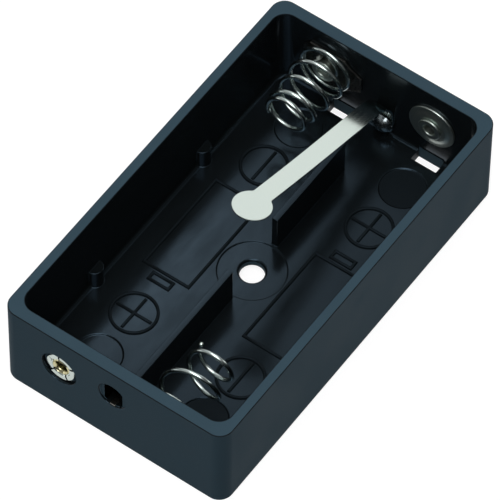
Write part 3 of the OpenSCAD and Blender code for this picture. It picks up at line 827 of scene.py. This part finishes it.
class HOLDER_OT_plates(bpy.types.Operator):
    """Rounds the edges of the stamped plates and of the link strip"""
    bl_idname = "holder.plates"
    bl_label = "Stamped plates"

    def execute(self, context):
        for node in ("back_spring_plate", "front_spring_plate", "link_strip"):
            bm = bmesh_from(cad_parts[node].data, spare=False)
            bmesh.ops.remove_doubles(bm, verts=bm.verts[:], dist=1e-6)
            bmesh.ops.dissolve_limit(bm, angle_limit=math.radians(1), verts=bm.verts[:],
                                     edges=bm.edges[:])
            round_edges(bm, sharp_edges(bm, 0.7), 0.05 * MM, 2)
            finish_piece("stamped_" + node, bm, [metal("dulled_nickel_strip")],
                         replaces=[node])
        return {"FINISHED"}


def coil(kind, towards, phase, shift, lean, closed):
    """Winds a coil: a hook round its eyelet, a closed base turn, open turns and end turns.
    It grows towards one end of the tray. Its base turn starts at a phase in degrees and is closed
    by a radius, and its turns are shifted sideways and up, in mm, and lean as they rise."""
    springs, contacts = bpy.context.scene.holder_springs, bpy.context.scene.holder_contacts
    base, tip, pitch, turns, end_pitch, end_turns = (
        getattr(springs, kind + part)
        for part in ("_base", "_tip", "_pitch", "_turns", "_end_pitch", "_end_turns"))
    wire, seat = springs.wire, contacts.seat
    start = wall_face() - 2 * seat - contacts.sheet - wire / 2
    hook, rise0 = contacts.shank / 2 + seat + wire / 2, wire + seat
    last = 2 + turns + end_turns
    # the coil's radius, rise and shift aside, each against the turns wound so far
    radii = [(0, hook), (0.5, hook), (1, base - closed), (2, base - closed), (2.6, base),
             (2 + turns, tip + wire / 4), (last, tip)]
    rises = [(0, 0), (1, 0), (2, rise0), (2 + turns, rise0 + pitch * turns),
             (last, rise0 + pitch * turns + end_pitch * end_turns)]
    asides = [(0, 0), (0.5, 0), (1, 1), (last, 1)]

    def along(turn, table):
        for (t0, v0), (t1, v1) in zip(table, table[1:]):
            if turn <= t1:
                return v0 + (v1 - v0) * (turn - t0) / (t1 - t0)
        return table[-1][1]

    def eased(turn, table):
        """The table's value, averaged over a tenth of a turn to each side."""
        values = [along(min(max(turn + k * 0.02, 0), last), table) for k in range(-5, 6)]
        return sum(values) / len(values)

    name = kind + "_coil_spring"
    curve = bpy.data.curves.new(name, "CURVE")
    curve.dimensions = "3D"
    curve.bevel_depth = wire / 2
    curve.bevel_resolution = 7
    curve.use_fill_caps = True
    curve.twist_mode = "MINIMUM"
    line = curve.splines.new("POLY")
    steps = int(last * 72)      # 72 points a turn
    line.points.add(steps)
    for i in range(steps + 1):
        turn = last * i / steps
        radius, rise, aside = (eased(turn, table) for table in (radii, rises, asides))
        spin = math.radians(phase - towards * 360 * (turn - 2))
        line.points[i].co = (
            towards * contacts.across + shift[0] * MM * aside + lean[0] * rise + radius * math.cos(spin),
            towards * (rise - start),
            contacts.height + shift[1] * MM * aside + lean[1] * rise + radius * math.sin(spin), 1)
    tip_spot = line.points[steps].co.to_3d()
    bm = bmesh_from(baked(into_scene(name, curve)))
    bpy.data.curves.remove(curve)
    for face in bm.faces:
        face.material_index = int(len(face.verts) > 4)
    # the wire's free end is tumbled round
    dome = bmesh.ops.create_uvsphere(bm, u_segments=24, v_segments=12, radius=0.52 * wire,
                                     matrix=Matrix.Translation(tip_spot))
    for face in {face for vert in dome["verts"] for face in vert.link_faces}:
        face.material_index = 1
    return finish_piece(name, bm, [metal("plated_spring_wire"), metal("sheared_wire_end")],
                        smooth=50, replaces=[kind + "_spring"])


class HOLDER_OT_springs(bpy.types.Operator):
    """Winds the two coil springs"""
    bl_idname = "holder.springs"
    bl_label = "Coil springs"

    def execute(self, context):
        back = coil("back", -1, phase=166, shift=(0.3, 0.6), lean=(0.04, 0.08), closed=0)
        front = coil("front", 1, phase=30, shift=(-1.2, 0.45), lean=(0.05, 0.1), closed=0.6 * MM)
        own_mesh(back)
        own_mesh(front)
        return {"FINISHED"}


class HOLDER_OT_strap(bpy.types.Operator):
    """Cuts the retaining strap flat and bends it up from the wall"""
    bl_idname = "holder.strap"
    bl_label = "Retaining strap"

    def execute(self, context):
        strap, contacts = context.scene.holder_strap, context.scene.holder_contacts
        sweep, kink = math.pi / 2 - strap.rise, strap.rise - strap.tip_rise
        sheet, half, radius = strap.sheet, strap.width / 2, strap.tip / 2
        arc_length, kink_arc = (strap.bend - sheet / 2) * sweep, strap.kink * kink
        leaf = strap.leaf - strap.kink * math.tan(kink / 2)
        # distances along the strap from its lower end: where the root's bend starts and ends,
        # where the kink starts and ends, and the middle of the round end
        marks = [half + strap.foot_rise]
        for piece in (arc_length, leaf, kink_arc):
            marks.append(marks[-1] + piece)
        tip_s = marks[3] + strap.tip_reach - strap.kink * math.tan(kink / 2)
        bm = self.blank(strap, half, radius, tip_s)
        cuts = between(marks[0], marks[1], 28) + between(marks[2], marks[3], 6)
        for s in cuts + between(marks[1], marks[2], 10)[1:-1]:
            bmesh.ops.bisect_plane(bm, geom=bm.verts[:] + bm.edges[:] + bm.faces[:],
                                   plane_co=(0, s, 0), plane_no=(0, 1, 0), dist=SAME_SPOT)

        def lean_at(s):
            """How far the strap leans forward from upright, at a distance along it."""
            if s < marks[1]:
                return (sweep + strap.bow) * max(0, s - marks[0]) / arc_length
            leaf_share = min(1, (s - marks[1]) / leaf)
            kinked = min(1, max(0, s - marks[2]) / kink_arc)
            return sweep + strap.bow * (1 - 2 * leaf_share) + (kink + strap.bow) * kinked

        # the middle line as y, z and lean, in short steps
        step = 0.05 * MM
        line = [(wall_face() - contacts.seat - sheet / 2, strap.rivet_z - half, 0.0)]
        while len(line) * step < tip_s + radius + step:
            lean = lean_at((len(line) - 0.5) * step)
            y, z, _ = line[-1]
            line.append((y - step * math.sin(lean), z + step * math.cos(lean), lean))

        def laid(s):
            """The bent middle line's y, z and lean, at a distance along it."""
            i = min(max(int(s / step), 0), len(line) - 2)
            t = s / step - i
            return [a + (b - a) * t for a, b in zip(line[i], line[i + 1])]

        for vert in bm.verts:
            x, s, off = vert.co
            y, z, lean = laid(s)
            vert.co = (strap.across + x, y + off * math.cos(lean), z + off * math.sin(lean))
        piece = finish_piece("retaining_strap_bent", bm, [metal("rolled_spring_steel")],
                             None, replaces=["retaining_strap"])
        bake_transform(piece)
        return {"FINISHED"}

    def blank(self, strap, half, radius, tip_s):
        """The flat blank: a round foot with its hole, the strip and the round end."""
        fillet, sheet = strap.neck, strap.sheet
        neck = math.sqrt((radius + fillet) ** 2 - (half + fillet) ** 2)
        turn = math.degrees(math.atan2(neck, half + fillet))
        right = arc((0, half), half, -90, 0, 12)
        right += arc((half + fillet, tip_s - neck), fillet, 180, 180 - turn, 5)
        right += arc((0, tip_s), radius, -turn, 90, 28)
        left = [(-x, s) for x, s in reversed(right[1:-1])]
        bm = bmesh.new()
        outline = bm.faces.new([bm.verts.new((x, s, -sheet / 2)) for x, s in right + left])
        up = bmesh.ops.extrude_face_region(bm, geom=[outline], use_keep_orig=True)
        top = [v for v in up["geom"] if isinstance(v, bmesh.types.BMVert)]
        bmesh.ops.translate(bm, vec=(0, 0, sheet), verts=top)
        hole = round_bar((0, half, -PAST), (0, half, PAST), strap.rivet_shank / 2 + PLAY, segments=32)
        bm = bmesh_from(baked(combine(loose_object(bm), [hole], "DIFFERENCE")))
        round_edges(bm, sharp_edges(bm, 0.9), 0.045 * MM, 2)
        return bm


class HOLDER_OT_rivet(bpy.types.Operator):
    """Sets the domed rivet that holds the strap's foot"""
    bl_idname = "holder.rivet"
    bl_label = "Strap rivet"

    def execute(self, context):
        strap, contacts = context.scene.holder_strap, context.scene.holder_contacts
        under = wall_face() - 2 * contacts.seat - strap.sheet
        grip = TRAY_HIGH.y - contacts.channel + contacts.seat - under
        half, tall, shank = strap.rivet_head / 2, strap.rivet_dome, strap.rivet_shank / 2
        dome = (half * half + tall * tall) / (2 * tall)
        first = math.degrees(math.asin(min(1, (half - 0.06 * MM) / dome)))
        points = [(0.0, -tall)]
        points += [(dome * math.sin(math.radians(turn)), dome - tall - dome * math.cos(math.radians(turn)))
                   for turn in between(0, first, 16)[1:]]
        # the head's edge, the shank, and the upset tail in the link strip's channel
        tail = shank + UPSET
        points += [(half, -0.16 * MM), (half - 0.04 * MM, -0.11 * MM), (1.1 * MM, 0), (shank, 0),
                   (shank, grip), (tail, grip), (tail, grip + 0.25 * MM),
                   (tail - 0.15 * MM, grip + 0.4 * MM), (0.0, grip + 0.4 * MM)]
        spot = (strap.across, under, strap.rivet_z)
        bm = aim(turned(points, 64, closed=False), spot, (0, 1, 0))
        finish_piece("domed_rivet", bm, [metal("dull_plated_rivet")],
                     replaces=["strap_rivet"])
        return {"FINISHED"}


# ---- stage -----------------------------------------------------------------------------------

FLOOR_REACH = 1.5           # half the floor's side, in metres
ROOM_DIM = 0.08             # how bright the room is away from its pale sides
# the pale sides: which way, where each starts and is full (as a cosine), and how bright
ROOM_SIDES = (((-0.35, 0.87, 0.35), 0.7, 0.92, 0.72),    # a wall low behind, which the strap mirrors
              ((-0.3, -0.3, 0.9), 0.55, 0.95, 0.34))     # the ceiling, over the left front corner
# each lamp's place, width and length in metres, and its power in watts
LAMPS = (("top softbox", (0.11, -0.22, 0.7), 0.4, 0.9, 4.0),
         ("left softbox", (-0.49, -0.35, 0.15), 0.25, 0.25, 0.26),
         ("right softbox", (0.32, 0.51, 0.13), 0.25, 0.25, 0.5),
         ("near softbox", (-0.146, 0.163, 0.3), 0.05, 0.05, 0.018))
LENS = 422.7                # focal length in mm
# the camera's turn and its place, to the front right of the holder and above it
VIEW = Matrix(((0.81318994, -0.48162985, 0.32673354, 0.24260),
               (0.58193899, 0.66486214, -0.46830049, -0.34826),
               (0.00831473, 0.57095624, 0.82093839, 0.61651),
               (0, 0, 0, 1)))


def white_paper(white):
    """Matt white paper. It is seen and mirrored white, keeps the holder's soft shadow, and throws
    little light back, so the holder's sides stay dark."""
    paper, tree, shader = new_material("white_paper")
    shader.inputs["Base Color"].default_value = (0.07, 0.07, 0.07, 1)
    shader.inputs["Roughness"].default_value = 0.9
    ray = add_node(tree, "ShaderNodeLightPath").outputs
    mirrored = add_node(tree, "ShaderNodeMath", {0: ray["Is Glossy Ray"], 1: ray["Is Transmission Ray"]},
                        operation="MAXIMUM")
    shown = add_node(tree, "ShaderNodeMath", {0: ray["Is Camera Ray"], 1: mirrored.outputs[0]},
                     operation="MAXIMUM")
    dim = add_node(tree, "ShaderNodeBsdfDiffuse", {"Color": (0.3, 0.3, 0.3, 1)})
    glow = add_node(tree, "ShaderNodeEmission", {"Color": white, "Strength": 0.82})
    seen = add_node(tree, "ShaderNodeAddShader", {0: dim.outputs[0], 1: glow.outputs[0]})
    mix = add_node(tree, "ShaderNodeMixShader", {0: shown.outputs[0], 1: shader.outputs[0],
                                                 2: seen.outputs[0]})
    tree.links.new(mix.outputs[0], tree.nodes["Material Output"].inputs["Surface"])
    return paper


def light_room(white):
    """A dim room, paler overhead, with a bright wall low behind the holder."""
    world = bpy.data.worlds.new("studio")
    bpy.context.scene.world = world
    world.use_nodes = True
    sky = world.node_tree
    where = add_node(sky, "ShaderNodeTexCoord").outputs["Generated"]
    total = ROOM_DIM
    for side, first, last, gain in ROOM_SIDES:
        towards = add_node(sky, "ShaderNodeVectorMath", {0: where, 1: side}, operation="DOT_PRODUCT")
        shine = add_node(sky, "ShaderNodeMapRange",
                         {"Value": towards.outputs["Value"], "From Min": first, "From Max": last,
                          "To Min": 0.0, "To Max": gain}, interpolation_type="SMOOTHSTEP")
        total = add_node(sky, "ShaderNodeMath", {0: total, 1: shine.outputs["Result"]},
                         operation="ADD").outputs[0]
    back = sky.nodes["Background"]
    back.inputs["Color"].default_value = white
    sky.links.new(total, back.inputs["Strength"])


class HOLDER_OT_stage(bpy.types.Operator):
    """Lays the pale floor and sets the lamps and the camera"""
    bl_idname = "holder.stage"
    bl_label = "Stage"

    def execute(self, context):
        scene = context.scene
        white = (*scene.holder_finishes.backdrop, 1)
        bm = bmesh.new()
        bmesh.ops.create_grid(bm, x_segments=1, y_segments=1, size=FLOOR_REACH)
        # a hair below the tray, so that the two never share a plane
        bmesh.ops.translate(bm, vec=(0, 0, -0.02 * MM), verts=bm.verts[:])
        ground = into_scene("floor", mesh_from(bm, "floor"))
        ground.data.materials.append(white_paper(white))
        light_room(white)
        for name, spot, wide, long, power in LAMPS:
            light = bpy.data.lights.new(name, "AREA")
            light.shape = "RECTANGLE"
            light.size, light.size_y = wide, long
            light.energy = power
            lamp = into_scene(name, light)
            lamp.location = spot
            lamp.rotation_euler = (-Vector(spot)).to_track_quat("-Z", "Y").to_euler()
        lens = bpy.data.cameras.new("view")
        lens.sensor_width = 36
        lens.lens = LENS
        lens.clip_start, lens.clip_end = 0.05, 10
        camera = into_scene("view", lens)
        camera.matrix_world = VIEW
        scene.camera = camera
        scene.view_settings.view_transform = "Standard"
        return {"FINISHED"}


PIECES = (HOLDER_OT_tray, HOLDER_OT_marks, HOLDER_OT_eyelets, HOLDER_OT_discs, HOLDER_OT_plates,
          HOLDER_OT_springs, HOLDER_OT_strap, HOLDER_OT_rivet, HOLDER_OT_stage)


class HOLDER_PT_panel(bpy.types.Panel):
    """Lists the holder's pieces and their sizes"""
    bl_label = "Battery holder"
    bl_space_type = "VIEW_3D"
    bl_region_type = "UI"
    bl_category = "Holder"

    def draw(self, context):
        layout = self.layout
        for piece in PIECES:
            layout.operator(piece.bl_idname)
        for name, group in GROUPS.items():
            box = layout.box()
            for key in group.__annotations__:
                box.prop(getattr(context.scene, name), key)


def register():
    """Registers the sizes, the operators and the panel."""
    for group in (*GROUPS.values(), *PIECES, HOLDER_PT_panel):
        bpy.utils.register_class(group)
    for name, group in GROUPS.items():
        setattr(bpy.types.Scene, name, bpy.props.PointerProperty(type=group))


def unregister():
    """Takes them away again."""
    for name in GROUPS:
        delattr(bpy.types.Scene, name)
    for group in reversed((*GROUPS.values(), *PIECES, HOLDER_PT_panel)):
        bpy.utils.unregister_class(group)


def main():
    """Builds every piece in order."""
    register()
    for piece in PIECES:
        group, name = piece.bl_idname.split(".")
        getattr(getattr(bpy.ops, group), name)()
    bpy.context.view_layer.update()


if __name__ == "__main__":
    main()
